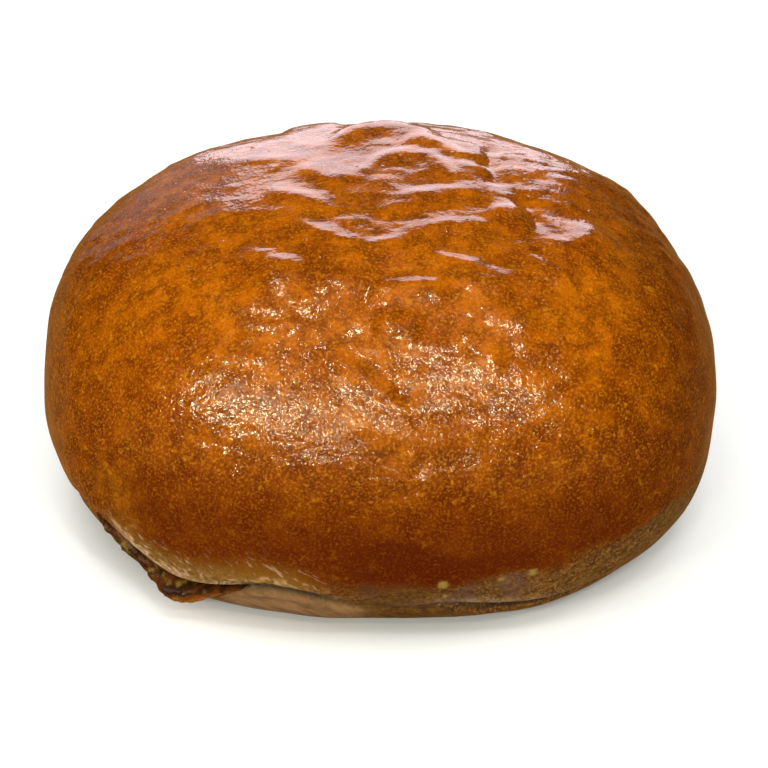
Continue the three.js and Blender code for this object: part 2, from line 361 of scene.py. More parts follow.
def crown_share(level):
    """Share of the plan radius at which the crown has a height."""
    sine = ((level - WIDEST_LEVEL) / (BUN_HEIGHT - WIDEST_LEVEL)) ** (CROWN_HEIGHT_POWER / 2)
    return math.sqrt(1 - sine * sine) ** (2 / CROWN_WIDTH_POWER)


def polar(azimuth, radius, height):
    return np.stack([radius * np.cos(azimuth), radius * np.sin(azimuth), height], axis=-1)


# Relief of the skin


def grain(points, size, octaves):
    """Smooth noise at each point, its features about size millimetres across."""
    places = (points / np.asarray(size)).tolist()
    return np.array([noise.fractal(place, NOISE_FALL, NOISE_STEP, octaves) for place in places])


def uneven(points, kind, share=1):
    """Unevenness of a kind at each point, or a share of it."""
    return kind.rise * share * grain(points, kind.size, kind.octaves)


def fold_rise(fold, x, y):
    along = math.cos(math.radians(fold.heading))
    across = math.sin(math.radians(fold.heading))
    place = np.clip(((x - fold.x) * along + (y - fold.y) * across) / fold.half, -1, 1)
    behind = (y - fold.y) * along - (x - fold.x) * across - fold.bend * place * place
    reach = np.where(behind > 0, fold.back, fold.front)
    return fold.rise * (1 - place**4) ** 2 * swell(behind, reach)


def seam_rise(azimuth, height):
    gape = over_turn(azimuth, SEAM_OPENINGS)
    gap = np.abs(height - seam_height(azimuth))
    crease = (SEAM_DEPTH + gape) * swell(gap, SEAM_REACH)
    shaded_crack = CRACK_SHARE * gape * swell(gap, CRACK_REACH)
    return LIP_RISE * gape * swell(gap - 2 * SEAM_REACH, SEAM_REACH) - crease - shaded_crack


def crown_rise(x, y, azimuth, height):
    shoulder = over_turn(azimuth, [SHOULDER]) * swell(height - SHOULDER_LEVEL, SHOULDER_REACH)
    return shoulder + sum(fold_rise(fold, x, y) for fold in FOLDS + FINE_FOLDS)


def scattered_blisters():
    """Middles and radii of the low blisters scattered over the crown."""
    draw = np.random.default_rng(BLISTER_SEED)
    azimuths = draw.uniform(-math.pi, math.pi, BLISTER_COUNT)
    shares = np.sqrt(draw.uniform(0, BLISTER_SPREAD, BLISTER_COUNT))
    radii = draw.uniform(*BLISTER_RADII, BLISTER_COUNT)
    return polar(azimuths, plan_radius(azimuths) * shares, crown_height(shares)), radii


def bubble_middle(bubble):
    azimuth = math.radians(bubble.bearing)
    return polar(azimuth, plan_radius(azimuth) * crown_share(bubble.level), bubble.level)


def round_rise(points, middle, radius, rise):
    return rise * radius * swell(np.linalg.norm(points - middle, axis=1), radius)


def blister_rise(points):
    blisters = zip(*scattered_blisters())
    scattered = sum(round_rise(points, middle, radius, BLISTER_RISE) for middle, radius in blisters)
    placed = sum(
        round_rise(points, bubble_middle(bubble), bubble.radius, BUBBLE_RISE) for bubble in BUBBLES
    )
    return scattered + placed


def crinkle_share(points):
    """The skin is crinkled on the crown, but for one smooth place, and not on the flanks."""
    x, y, height = points.T
    smooth_x, smooth_y = SMOOTH_PLACE
    smooth = swell(np.hypot(x - smooth_x, y - smooth_y), SMOOTH_REACH)
    return smoothstep(height, *CRINKLED_LEVELS) * (1 - SMOOTH_SHARE * smooth)


def within(bearings, azimuth):
    """1 between two bearings, falling to 0 at both ends."""
    bearing = np.degrees(azimuth)
    first, last = bearings
    opening = smoothstep(bearing, first, first + RIM_FADE)
    return opening * (1 - smoothstep(bearing, last - RIM_FADE, last))


def to_right(azimuth):
    """0 along the left of the torn rim and 1 along its right."""
    return smoothstep(np.degrees(azimuth), *TORN_TURN)


def torn_share(azimuth, height, ragged=0):
    """The pale torn rim along the upper lip of the split, its upper edge as uneven as ragged."""
    above = height - seam_height(azimuth)
    right = to_right(azimuth)
    width = lerp(*TORN_WIDTHS, right)
    fade = smoothstep(above + ragged, TORN_FADE_FROM * width, width)
    rim = smoothstep(above, *TORN_BOTTOM) * (1 - fade)
    return within(TORN_BEARINGS, azimuth) * lerp(1, TORN_RIGHT_SHARE, right) * rim


def skin_rise(points):
    x, y, height = points.T
    azimuth = np.arctan2(y, x)
    on_foot = height < WIDEST_LEVEL
    main = np.where(on_foot, seam_rise(azimuth, height), crown_rise(x, y, azimuth, height))
    swells = uneven(points, SWELLS)
    crinkles = uneven(points, CRINKLES, crinkle_share(points))
    torn = uneven(points, TORN_RELIEF, torn_share(azimuth, height))
    return np.where(height > 0, main + swells + crinkles + torn + blister_rise(points), 0)


# Meshes


def vertex_normals(points, faces):
    corners = points[faces]
    normals = np.cross(corners[:, 2] - corners[:, 0], corners[:, 3] - corners[:, 1])
    summed = np.zeros_like(points)
    for corner in range(4):
        np.add.at(summed, faces[:, corner], normals)
    lengths = np.linalg.norm(summed, axis=1, keepdims=True)
    return summed / np.maximum(lengths, np.finfo(float).tiny)


def new_mesh(name, points, quads, triangles=()):
    mesh = bpy.data.meshes.new(name)
    faces = [*quads.tolist(), *triangles]
    mesh.from_pydata((points * MM).tolist(), [], faces)
    mesh.update()
    return mesh


def new_object(name, data):
    made = bpy.data.objects.new(name, data)
    bpy.context.scene.collection.objects.link(made)
    return made


def mesh_points(mesh):
    flat = np.empty(len(mesh.vertices) * 3)
    mesh.vertices.foreach_get("co", flat)
    return flat.reshape(-1, 3) / MM


def set_mask(mesh, name, values):
    mask = mesh.attributes.new(name, "FLOAT", "POINT")
    mask.data.foreach_set("value", np.asarray(values, np.float32))


def shade_smooth(mesh):
    mesh.polygons.foreach_set("use_smooth", np.ones(len(mesh.polygons), bool))
    mesh.set_sharp_from_angle(angle=math.radians(SHARP_ANGLE))


def ring_quads(first, second):
    """Quads between two rings of vertex numbers, the second above the first."""
    return np.stack([first, np.roll(first, -1), np.roll(second, -1), second], axis=-1)


def fan(middle, ring, facing_up):
    """Triangles that close a ring of vertex numbers with a point in its middle."""
    pairs = zip(ring.tolist(), np.roll(ring, -1).tolist())
    return [(middle, a, b) if facing_up else (middle, b, a) for a, b in pairs]


def crowded(turn):
    """Draws the columns together towards the split."""
    return turn - CROWDING * np.sin(turn - math.radians(CROWD_BEARING))


def flank_shares():
    """Shares of the plan radius from the widest level to the cap's edge, evenly spaced on the skin."""
    angles = np.linspace(0, math.acos(CAP_SHARE ** (CROWN_WIDTH_POWER / 2)), PROFILE_SAMPLES)
    shares = np.cos(angles) ** (2 / CROWN_WIDTH_POWER)
    steps = np.hypot(np.diff(shares * BUN_RADIUS), np.diff(crown_height(shares)))
    run = np.concatenate([[0], np.cumsum(steps)])
    return np.interp(np.linspace(0, run[-1], FLANK_ROWS + 1), run, shares)


def foot_levels():
    """Levels from the base to the widest, closest together at the seam."""
    return np.concatenate([np.linspace(*rows, endpoint=False) for rows in FOOT_ROWS])


def bun_rings():
    """Rings of points from near the base's middle to the cap's edge, in rows and columns."""
    columns = 4 * CAP_SIDE
    turn = math.tau * np.arange(columns) / columns - math.pi / 4
    azimuth = crowded(turn)
    heights = [level_along_seam(azimuth, level) for level in foot_levels()]
    foot_rings = [polar(azimuth, foot_radius(azimuth, height), height) for height in heights]
    plan = plan_radius(azimuth)
    crown_rings = [
        polar(azimuth, plan * share, np.full(columns, crown_height(share))) for share in flank_shares()
    ]
    base_rings = [foot_rings[0] * row / BASE_ROWS for row in range(1, BASE_ROWS)]
    return np.array([*base_rings, *foot_rings, *crown_rings])


def cap_turns_and_shares():
    """Turn and share of the cap's radius for the points of a square grid pressed into a disc."""
    line = np.linspace(-1, 1, CAP_SIDE + 1)
    u, v = np.meshgrid(line, line, indexing="ij")
    sideways = np.abs(u) >= np.abs(v)
    reach = np.where(sideways, u, v)
    safe = np.where(reach == 0, 1, reach)
    angle = np.where(sideways, math.pi / 4 * v / safe, math.pi / 2 - math.pi / 4 * u / safe)
    turn = np.arctan2(reach * np.sin(angle), reach * np.cos(angle))
    return turn, np.abs(reach)


def cap_grid(edge, first_number):
    """Points inside the cap's edge, numbered on from the rings, and the quads of its square grid."""
    turn, share = cap_turns_and_shares()
    azimuth = crowded(turn)
    cap = polar(azimuth, plan_radius(azimuth) * share * CAP_SHARE, crown_height(share * CAP_SHARE))
    inside = share < 1 - 0.5 / CAP_SIDE
    columns = len(edge)
    column = np.rint((turn[~inside] + math.pi / 4) / math.tau * columns).astype(int) % columns
    numbers = np.empty(share.shape, int)
    numbers[inside] = first_number + np.arange(inside.sum())
    numbers[~inside] = edge[column]
    corners = [numbers[:-1, :-1], numbers[1:, :-1], numbers[1:, 1:], numbers[:-1, 1:]]
    return cap[inside], np.stack(corners, axis=-1).reshape(-1, 4)


def bun_grid():
    """Points and faces of the plain bun: rings closed by a fan below and a square grid on the cap."""
    rings = bun_rings()
    rows, columns = rings.shape[:2]
    numbers = np.arange(rows * columns).reshape(rows, columns)
    quads = [ring_quads(numbers[i], numbers[i + 1]) for i in range(rows - 1)]
    cap_points, cap_quads = cap_grid(numbers[-1], rows * columns)
    points = np.concatenate([rings.reshape(-1, 3), cap_points, [[0, 0, 0]]])
    base_fan = fan(len(points) - 1, numbers[0], facing_up=False)
    return points, np.concatenate([*quads, cap_quads]), base_fan


def fitted(points, node):
    """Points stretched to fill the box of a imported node."""
    low, high = (np.array(corner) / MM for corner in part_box(node))
    own_low = points.min(axis=0)
    own_high = points.max(axis=0)
    return low + (points - own_low) * (high - low) / (own_high - own_low)


def wrapped_bearing(azimuth):
    """Bearing of an azimuth, from -180 to 180."""
    return np.degrees(np.arctan2(np.sin(azimuth), np.cos(azimuth)))


def mouth_open(azimuth, right_end):
    bearing = wrapped_bearing(azimuth)
    return smoothstep(bearing, *MOUTH_LEFT) * (1 - smoothstep(bearing, *right_end))


def lip_parting(azimuth):
    """Round at the left end of the split and drawn to a point at the right."""
    bearing = wrapped_bearing(azimuth)
    left = share_of_way(bearing, *PARTING_LEFT)
    right = share_of_way(bearing, *PARTING_RIGHT)
    parting = np.minimum(np.sqrt(left * (2 - left)), right**PARTING_TAPER)
    return np.maximum(parting, PARTING_LEAST)


def filling_turns(columns):
    """Azimuths of the filling's columns, drawn together towards the mouth."""
    turn = math.tau * np.arange(columns) / columns - math.pi
    from_mouth = turn_gap(turn, MOUTH_BEARING)
    return math.radians(MOUTH_BEARING) + from_mouth - FILLING_CROWDING * np.sin(from_mouth)


def lens_profile(rows):
    """Rise from -1 to 1 and share of the reach, from the bottom of the lens to its top."""
    angle = math.pi * np.arange(rows + 1) / rows - math.pi / 2
    rise = np.sign(angle) * np.abs(np.sin(angle)) ** (2 / FILLING_POWER)
    return rise, np.clip(np.cos(angle), 0, 1) ** (2 / FILLING_POWER)


def filling_levels(azimuth, sag, gap):
    """Bottom and top of the filling, which lies between the lips of the split where it comes out."""
    slot = mouth_open(azimuth, SLOT_RIGHT)
    parting = lip_parting(azimuth)
    seam = seam_height(azimuth) - POCKET_GAP
    clear = gap * lerp(1, np.sqrt(parting), slot)
    lip = lerp(seam, FILLING_BOTTOM, parting)
    bottom = lerp(FILLING_BOTTOM, lip, slot) - sag - clear
    top = lerp(FILLING_TOP, seam, slot) + clear
    return bottom, top


def filling_grid(columns, rows, gap):
    """Rings of the filling, or with a gap of the pocket that it lies in.

    The first and the last ring are single points. The other two values say for each point how far out
    on the tongue it is, and its rise from -1 to 1.
    """
    is_pocket = gap > 0
    rise, share = lens_profile(rows)
    azimuth, rise = np.meshgrid(filling_turns(columns), rise)
    share = np.broadcast_to(share[:, None], rise.shape)
    opened = mouth_open(azimuth, MOUTH_RIGHT)
    sag = DROP_SAG * opened * in_stretch(azimuth, DROP)
    if not is_pocket:
        sag = sag * share**DROP_EDGE
    bottom, top = filling_levels(azimuth, sag, gap)
    height = lerp(bottom, top, 0.5 * (rise + 1))
    plan = plan_radius(azimuth)
    hang = over_turn(azimuth, [DROP]) * swell(height - DROP_LEVEL, DROP_REACH)
    face = foot_radius(azimuth, height) + TONGUE_PROUD + hang
    out = np.minimum(1, opened / TONGUE_FULLNESS)
    reach = lerp(plan * FILLING_SHARE, face, out)
    past = opened * (plan * MOUTH_SHARE - face) * share**MOUTH_FLARE if is_pocket else 0
    return polar(azimuth, share * (reach + gap) + past, height), out * share, rise


def closed_rings(rings):
    """Points, quads and end fans of rings whose first and last are single points."""
    rows, columns = rings.shape[:2]
    points = np.concatenate([rings[1:-1].reshape(-1, 3), rings[0, :1], rings[-1, :1]])
    numbers = np.arange((rows - 2) * columns).reshape(rows - 2, columns)
    quads = np.concatenate([ring_quads(numbers[i], numbers[i + 1]) for i in range(rows - 3)])
    below = fan(len(points) - 2, numbers[0], facing_up=False)
    above = fan(len(points) - 1, numbers[-1], facing_up=True)
    return points, quads, below + above


def cut_pocket(bun):
    """Cuts the room for the filling out of the bun."""
    rings, _, _ = filling_grid(POCKET_COLUMNS, POCKET_ROWS, POCKET_GAP)
    pocket = new_object("pocket", new_mesh("pocket", *closed_rings(rings)))
    cut = bun.modifiers.new("pocket", "BOOLEAN")
    cut.operation = "DIFFERENCE"
    cut.solver = "MANIFOLD"
    cut.object = pocket
    graph = bpy.context.evaluated_depsgraph_get()
    whole = bun.data
    bun.data = bpy.data.meshes.new_from_object(bun.evaluated_get(graph))
    bun.modifiers.clear()
    bpy.data.meshes.remove(whole)
    bpy.data.meshes.remove(pocket.data)


# Masks that the materials read

# What a mask is worked out from, for all points of the bun's skin; above is the height over the seam
Skin = namedtuple("Skin", "points x height azimuth above")


def read_skin(mesh):
    points = mesh_points(mesh)
    x, y, height = points.T
    azimuth = np.arctan2(y, x)
    return Skin(points, x, height, azimuth, height - seam_height(azimuth))


def away_from(spot, skin):
    """Distance along the skin from a round place, over its radius."""
    aside = turn_gap(skin.azimuth, spot.bearing) * plan_radius(math.radians(spot.bearing))
    return np.hypot(aside, skin.height - spot.level) / spot.radius


def on_spots(skin, spots, fade, ragged=0):
    """1 on the round places and 0 away from them, their edges as uneven as ragged."""
    return np.max([1 - smoothstep(away_from(spot, skin) + ragged, *fade) for spot in spots], axis=0)


def pale_mask(skin):
    """The foot, below the ragged lower edge of the crust."""
    shifts = over_turn(skin.azimuth, CRUST_EDGE_SHIFTS)
    edge = CRUST_EDGE + shifts + uneven(skin.points, CRUST_EDGE_RAGGED)
    return 1 - smoothstep(skin.height, edge - CRUST_EDGE_FADE, edge + CRUST_EDGE_FADE)


# Painted shade on the front of the foot.
def foot_shade_mask(skin):
    return over_turn(skin.azimuth, [FOOT_SHADE])


def polished_mask(skin):
    return smoothstep(skin.height, *POLISHED_LEVELS)


def glazed_mask(skin):
    """The top and the middle of the front and the back."""
    aside = smoothstep(np.abs(skin.x), *GLAZED_HALF_WIDTHS)
    middle = smoothstep(skin.height, *GLAZED_FROM) * (1 - aside)
    return lerp(LEAST_GLAZE, 1, np.maximum(smoothstep(skin.height, *GLAZED_LEVELS), middle))


def torn_mask(skin):
    return torn_share(skin.azimuth, skin.height, uneven(skin.points, TORN_RAGGED))


def torn_edge_mask(skin):
    return to_right(skin.azimuth) * (1 - smoothstep(skin.above, *TORN_EDGE))


def frayed_mask(skin):
    frayed = (1 - smoothstep(skin.above, *FRAYED_HEIGHTS)) * (skin.above > 0)
    return within(TORN_BEARINGS, skin.azimuth) * frayed


def lip_mask(skin):
    """The lower lip of the split."""
    return within(LIP_BEARINGS, skin.azimuth) * (1 - smoothstep(skin.above, *LIP_TOP))


def crumb_mask(skin):
    """The walls of the pocket, deeper than the skin."""
    x, y, height = skin.points.T
    depth = foot_radius(skin.azimuth, height) - np.hypot(x, y)
    return (depth > CRUMB_DEPTH) & (height > CRUMB_LEVEL) & (height < WIDEST_LEVEL)


def crack_shade_mask(skin):
    """Painted shade in the slit of the crease, where the lips are shut."""
    gape = over_turn(skin.azimuth, SEAM_OPENINGS)
    near = swell(skin.above + CRACK_REACH, CRACK_SHADE_SPREAD * CRACK_REACH)
    return np.clip(CRACK_SHADE_STRENGTH * gape, 0, 1) * near * (lip_parting(skin.azimuth) < SHUT_PARTING)


def browned_and_shaded_mask(skin):
    """Browning and painted shade: darker downwards to a dark band along the front, and evenly darker at
    the sides.
    """
    over_band = skin.height - DARK_BAND_LEVEL + uneven(skin.points, DARK_BAND_RAGGED)
    band = swell(np.maximum(over_band, 0), DARK_BAND_REACH)
    baked_and_shaded = BAKED_AND_SHADED_SHARE * (1 - smoothstep(skin.height, *BAKED_AND_SHADED_LEVELS))
    sides_brown_and_shade = np.where(skin.x < 0, *SIDES_BROWN_AND_SHADE_SHARES)
    baked_and_shaded = lerp(baked_and_shaded, sides_brown_and_shade, smoothstep(np.abs(skin.x), *SIDES_HALF_WIDTHS))
    return np.clip(np.maximum(over_turn(skin.azimuth, [DARK_BAND]) * band, baked_and_shaded), 0, 1)


def spot_mask(skin):
    return on_spots(skin, SPOTS, SPOT_FADE)


# Painted lilac reflections on the foot.
def lilac_reflection_mask(skin):
    return on_spots(skin, LILAC_REFLECTION_SPOTS, LILAC_REFLECTION_FADE, uneven(skin.points, LILAC_REFLECTION_RAGGED))


# A painted reflection along the top of the crease.
def crease_reflection_mask(skin):
    return over_turn(skin.azimuth, [CREASE_REFLECTION]) * swell(skin.above - CREASE_REFLECTION_RISE, CREASE_REFLECTION_REACH)


def patch_mask(skin):
    return on_spots(skin, [PATCH], PATCH_FADE, uneven(skin.points, PATCH_RAGGED))


BUN_MASKS = {
    "pale": pale_mask,
    "foot_shade": foot_shade_mask,
    "polished": polished_mask,
    "glazed": glazed_mask,
    "torn": torn_mask,
    "torn_edge": torn_edge_mask,
    "frayed": frayed_mask,
    "lip": lip_mask,
    "crumb": crumb_mask,
    "shaded_crack": crack_shade_mask,
    "browned_and_shaded": browned_and_shaded_mask,
    "spot": spot_mask,
    "lilac_reflection": lilac_reflection_mask,
    "crease_reflection": crease_reflection_mask,
    "patch": patch_mask,
}


def paint_bun(mesh):
    skin = read_skin(mesh)
    for name, mask in BUN_MASKS.items():
        set_mask(mesh, name, mask(skin))


def paint_filling(mesh, rise):
    """The mask of the clear amber part, low on the face of the tongue."""
    x, y, _ = mesh_points(mesh).T
    low = smoothstep(-rise, AMBER_EDGE - AMBER_FADE, AMBER_EDGE + AMBER_FADE)
    set_mask(mesh, "amber", low * over_turn(np.arctan2(y, x), [AMBER]))


# The pieces


def make_bun():
    points, quads, base_fan = bun_grid()
    normals = vertex_normals(points, quads)
    shaped = points + normals * skin_rise(points)[:, None]
    bun = new_object("bun_skin", new_mesh("bun_skin", fitted(shaped, "bun"), quads, base_fan))
    cut_pocket(bun)
    paint_bun(bun.data)
    shade_smooth(bun.data)
    return bun


def make_filling():
    rings, out, rise = filling_grid(FILLING_COLUMNS, FILLING_ROWS, 0)
    lumps = uneven(rings.reshape(-1, 3), LUMPS).reshape(out.shape)
    radius = np.hypot(rings[..., 0], rings[..., 1])
    grown = 1 + lumps * out**LUMP_POWER / np.maximum(radius, LEAST_RADIUS)
    rings[..., :2] *= grown[..., None]
    filling = new_object("filling_wet", new_mesh("filling_wet", *closed_rings(rings)))
    paint_filling(filling.data, np.concatenate([rise[1:-1].ravel(), [-1, 1]]))
    shade_smooth(filling.data)
    return filling


# Materials


def colour(red, green, blue):
    return (red, green, blue, 1)


# Colours of the skin
GOLDEN = colour(0.5, 0.124, 0.001)
BROWN = colour(0.33, 0.069, 0.001)
DARK_BROWN = colour(0.08, 0.0087, 0.0007)
SPECK = colour(0.66, 0.25, 0.005)
FOOT_TAN = colour(0.185, 0.07, 0.008)
FOOT_BROWN = colour(0.07, 0.022, 0.002)
# colour of the painted lilac reflections
FOOT_LILAC_REFLECTION = colour(0.13, 0.058, 0.044)
# colour of the painted reflection along the top of the crease
FOOT_REFLECTION = colour(0.36, 0.24, 0.15)
FOOT_OLIVE = colour(0.42, 0.19, 0.026)
LIP_TAN = colour(0.29, 0.135, 0.043)
LIP_BROWN = colour(0.17, 0.072, 0.019)
TORN_PALE = colour(0.66, 0.43, 0.27)
TORN_TAN = colour(0.36, 0.17, 0.045)
TORN_OLIVE = colour(0.32, 0.22, 0.03)
FRAYED_OLIVE = colour(0.21, 0.095, 0.012)
SPOT_YELLOW = colour(0.27, 0.165, 0.035)
# painted shade in the crease
CRACK_SHADE_COLOUR = colour(0.03, 0.01, 0.004)

# Colours of the filling
WET_DARK = colour(0.03, 0.009, 0.002)
WET_BROWN = colour(0.105, 0.028, 0.004)
WET_OLIVE = colour(0.21, 0.125, 0.018)
WET_AMBER = colour(0.38, 0.11, 0.006)

# How noise lies: its length over its width, and its lean from upright to the right in degrees
Lay = namedtuple("Lay", "length slant")
EVEN = Lay(1, 0)
FIBRES = Lay(4, -50)
STREAKS = Lay(2, 70)

# Noise that runs from start to end where its own value runs from low to high
Mottle = namedtuple("Mottle", "size detail roughness low high start end lay", defaults=(0, 1, EVEN))
CRUST_MOTTLE = Mottle(9, 3, 0.5, 0.35, 0.65)
CRUST_CLOUDS = Mottle(3.2, 4, 0.6, 0.37, 0.63, 0, 0.58)
CRUST_PITS = Mottle(0.55, 2, 0.6, 0.3, 0.56, 0.36, 0)
CRUST_GRAINS = Mottle(0.42, 2, 0.6, 0.46, 0.72, 0, 0.48)
CRUST_SPECKS = Mottle(0.9, 1, 0.5, 0.64, 0.76, 0, 0.5)
CRUST_FRECKLES = Mottle(2.2, 3, 0.5, 0.62, 0.76, 0, 0.35)
FOOT_STREAKS = Mottle(1.4, 5, 0.8, 0.38, 0.6, lay=STREAKS)
FOOT_CRUMBS = Mottle(0.5, 2, 0.8, 0.5, 0.6, 0, 0.6)
FOOT_PITS = Mottle(0.4, 1, 0.5, 0.32, 0.44, 0.8, 0)
LILAC_REFLECTION_STREAKS = Mottle(1, 4, 0.7, 0.35, 0.6, 0, 0.9, FIBRES)
# streaks of the painted reflection along the crease
REFLECTION_STREAKS = Mottle(0.8, 3, 0.7, 0.35, 0.6, 0.3, 1, FIBRES)
LIP_FIBRES = Mottle(1.4, 4, 0.7, 0.35, 0.65, lay=FIBRES)
TORN_FIBRES = Mottle(0.7, 3, 0.7, 0.38, 0.62, lay=FIBRES)
TORN_PATCHES = Mottle(1.2, 3, 0.6, 0.4, 0.62, lay=FIBRES)
FRAYED_STRANDS = Mottle(0.7, 2, 0.6, 0.55, 0.72, 0, 0.6, FIBRES)
WET_DEPTH = Mottle(2.2, 3, 0.5, 0.38, 0.62)
WET_BITS = Mottle(3, 3, 0.6, 0.54, 0.68)
WET_ROUGHNESS = Mottle(1.5, 2, 0.5, 0.3, 0.7, 0.15, 0.4)

# How much of a colour shows
PATCH_SHARE = 0.14
FRAYED_SHARE = 0.6
SPECKS_FADE = (0.3, 1)  # the pale specks fade where the crust is browned and painted darker
SPECKS_SHARES = (1, 0.15)

# Gloss; pairs are of the crust and of the foot
SKIN_ROUGHNESS = (0.09, 0.3)
LIP_DULLNESS = 2.2  # times as rough on the lower lip
SKIN_SPECULAR = 0.6
SKIN_SPECULAR_TINT = colour(1, 0.93, 0.65)
COAT_WEIGHTS = (0.6, 0.1)
COAT_ROUGHNESS = 0.2
COAT_IOR = 1.5
WET_SPECULAR = 0.2

# Relief drawn by the materials
PEEL_SPACING = 0.75
PEEL_SHARE = 0.8  # radius of a dome over their spacing
PEEL_RISE = 0.03
GRAIN_SIZE = 0.45
GRAIN_RISE = 0.07
RIPPLE_SIZE = 1.8
RIPPLE_RISE = 0.2
POLISHED_RELIEF = 0.45  # how much of the relief is left where the skin is polished
DULL_RELIEF = 0.45  # and where it isn't glazed
FOOT_RELIEF = 4  # times as much of it on the foot
PIMPLE_SPACING = 2.6
PIMPLE_SHARE = 0.17
PIMPLE_RISE = 0.16
PIMPLE_CHANCE = (0.5, 0.55)
WET_GRAIN_SIZE = 0.9
WET_GRAIN_DETAIL = 3
WET_GRAIN_ROUGHNESS = 0.6
WET_GRAIN_RISE = 0.25

# The floor, shaded under the bun
FLOOR_TONES = (colour(0.68, 0.72, 0.76), colour(0.69, 0.73, 0.77))
FLOOR_CLOUD_SIZE = 400
FLOOR_CLOUD_DETAIL = 2
FLOOR_ROUGHNESS = 0.9
FLOOR_LIGHT = colour(1, 1, 1)
SHADE_HALF_WIDTHS = (57, 49)
SHADE_EDGE = (0.84, 1.02)  # over those half widths
FLOOR_GLOW = (0.12, 0.42)  # inside the shade's edge and outside it

# Numbers of the colour sockets of a mix node
MIX_FIRST = 6
MIX_SECOND = 7
MIX_RESULT = 2


def new_material(name):
    material = bpy.data.materials.new(name)
    material.use_nodes = True
    return material, material.node_tree


def put(tree, socket, value):
    """Links a socket's value, or sets it."""
    if isinstance(value, bpy.types.NodeSocket):
        tree.links.new(value, socket)
    else:
        socket.default_value = value


def object_coords(tree, lay=EVEN):
    """Coordinates in which what is drawn comes out longer and leaning."""
    mapping = tree.nodes.new("ShaderNodeMapping")
    mapping.vector_type = "TEXTURE"
    put(tree, mapping.inputs["Vector"], tree.nodes.new("ShaderNodeTexCoord").outputs["Object"])
    put(tree, mapping.inputs["Rotation"], (0, math.radians(lay.slant), 0))
    put(tree, mapping.inputs["Scale"], (1, 1, lay.length))
    return mapping.outputs["Vector"]


def noise_texture(tree, size, detail=1, roughness=0.5, lay=EVEN):
    """Noise with features about size millimetres across."""
    texture = tree.nodes.new("ShaderNodeTexNoise")
    put(tree, texture.inputs["Vector"], object_coords(tree, lay))
    put(tree, texture.inputs["Scale"], 1 / (size * MM))
    put(tree, texture.inputs["Detail"], detail)
    put(tree, texture.inputs["Roughness"], roughness)
    return texture.outputs["Fac"]


def mask_value(tree, name):
    attribute = tree.nodes.new("ShaderNodeAttribute")
    attribute.attribute_name = name
    return attribute.outputs["Fac"]


def remap(tree, value, low, high, start=0, end=1):
    ranged = tree.nodes.new("ShaderNodeMapRange")
    ranged.interpolation_type = "SMOOTHSTEP"
    put(tree, ranged.inputs["Value"], value)
    put(tree, ranged.inputs["From Min"], low)
    put(tree, ranged.inputs["From Max"], high)
    put(tree, ranged.inputs["To Min"], start)
    put(tree, ranged.inputs["To Max"], end)
    return ranged.outputs["Result"]


def mottled(tree, mottle):
    value = noise_texture(tree, mottle.size, mottle.detail, mottle.roughness, mottle.lay)
    return remap(tree, value, mottle.low, mottle.high, mottle.start, mottle.end)


def masked(tree, name, start, end):
    """A value that runs from start to end as a mask runs from 0 to 1."""
    return remap(tree, mask_value(tree, name), 0, 1, start, end)


def product(tree, first, second):
    made = tree.nodes.new("ShaderNodeMath")
    made.operation = "MULTIPLY"
    put(tree, made.inputs[0], first)
    put(tree, made.inputs[1], second)
    return made.outputs["Value"]


def mixed(tree, share, first, second):
    """A colour between two others."""
    mix = tree.nodes.new("ShaderNodeMix")
    mix.data_type = "RGBA"
    put(tree, mix.inputs["Factor"], share)
    put(tree, mix.inputs[MIX_FIRST], first)
    put(tree, mix.inputs[MIX_SECOND], second)
    return mix.outputs[MIX_RESULT]


def bumped(tree, height, depth, under=None):
    """Normal of a surface whose height runs over depth millimetres."""
    bump = tree.nodes.new("ShaderNodeBump")
    put(tree, bump.inputs["Strength"], 1)
    put(tree, bump.inputs["Distance"], depth * MM)
    put(tree, bump.inputs["Height"], height)
    if under is not None:
        put(tree, bump.inputs["Normal"], under)
    return bump.outputs["Normal"]


def crust_colour(tree):
    browned_and_shaded = mask_value(tree, "browned_and_shaded")
    crust = mixed(tree, mottled(tree, CRUST_MOTTLE), BROWN, GOLDEN)
    # browning and painted shade, darker downwards, along the front and at the sides
    crust = mixed(tree, browned_and_shaded, crust, DARK_BROWN)
    crust = mixed(tree, masked(tree, "patch", 0, PATCH_SHARE), crust, SPECK)
    for dark in (CRUST_CLOUDS, CRUST_PITS):
        crust = mixed(tree, mottled(tree, dark), crust, DARK_BROWN)
    unbrowned_and_unshaded = remap(tree, browned_and_shaded, *SPECKS_FADE, *SPECKS_SHARES)
    for light in (CRUST_GRAINS, CRUST_SPECKS, CRUST_FRECKLES):
        crust = mixed(tree, product(tree, mottled(tree, light), unbrowned_and_unshaded), crust, SPECK)
    return crust


def foot_colour(tree):
    foot = mixed(tree, mottled(tree, FOOT_STREAKS), FOOT_BROWN, FOOT_TAN)
    foot = mixed(tree, mottled(tree, FOOT_CRUMBS), foot, FOOT_OLIVE)
    foot = mixed(tree, mottled(tree, FOOT_PITS), foot, FOOT_BROWN)
    # painted lilac reflections on the foot
    lilac_reflection_share = product(tree, mottled(tree, LILAC_REFLECTION_STREAKS), mask_value(tree, "lilac_reflection"))
    foot = mixed(tree, lilac_reflection_share, foot, FOOT_LILAC_REFLECTION)
    # painted shade on the front of the foot
    foot = mixed(tree, mask_value(tree, "foot_shade"), foot, FOOT_BROWN)
    # a painted reflection along the top of the crease
    reflection_share = product(tree, mottled(tree, REFLECTION_STREAKS), mask_value(tree, "crease_reflection"))
    return mixed(tree, reflection_share, foot, FOOT_REFLECTION)


def lip_colour(tree):
    return mixed(tree, mottled(tree, LIP_FIBRES), LIP_BROWN, LIP_TAN)


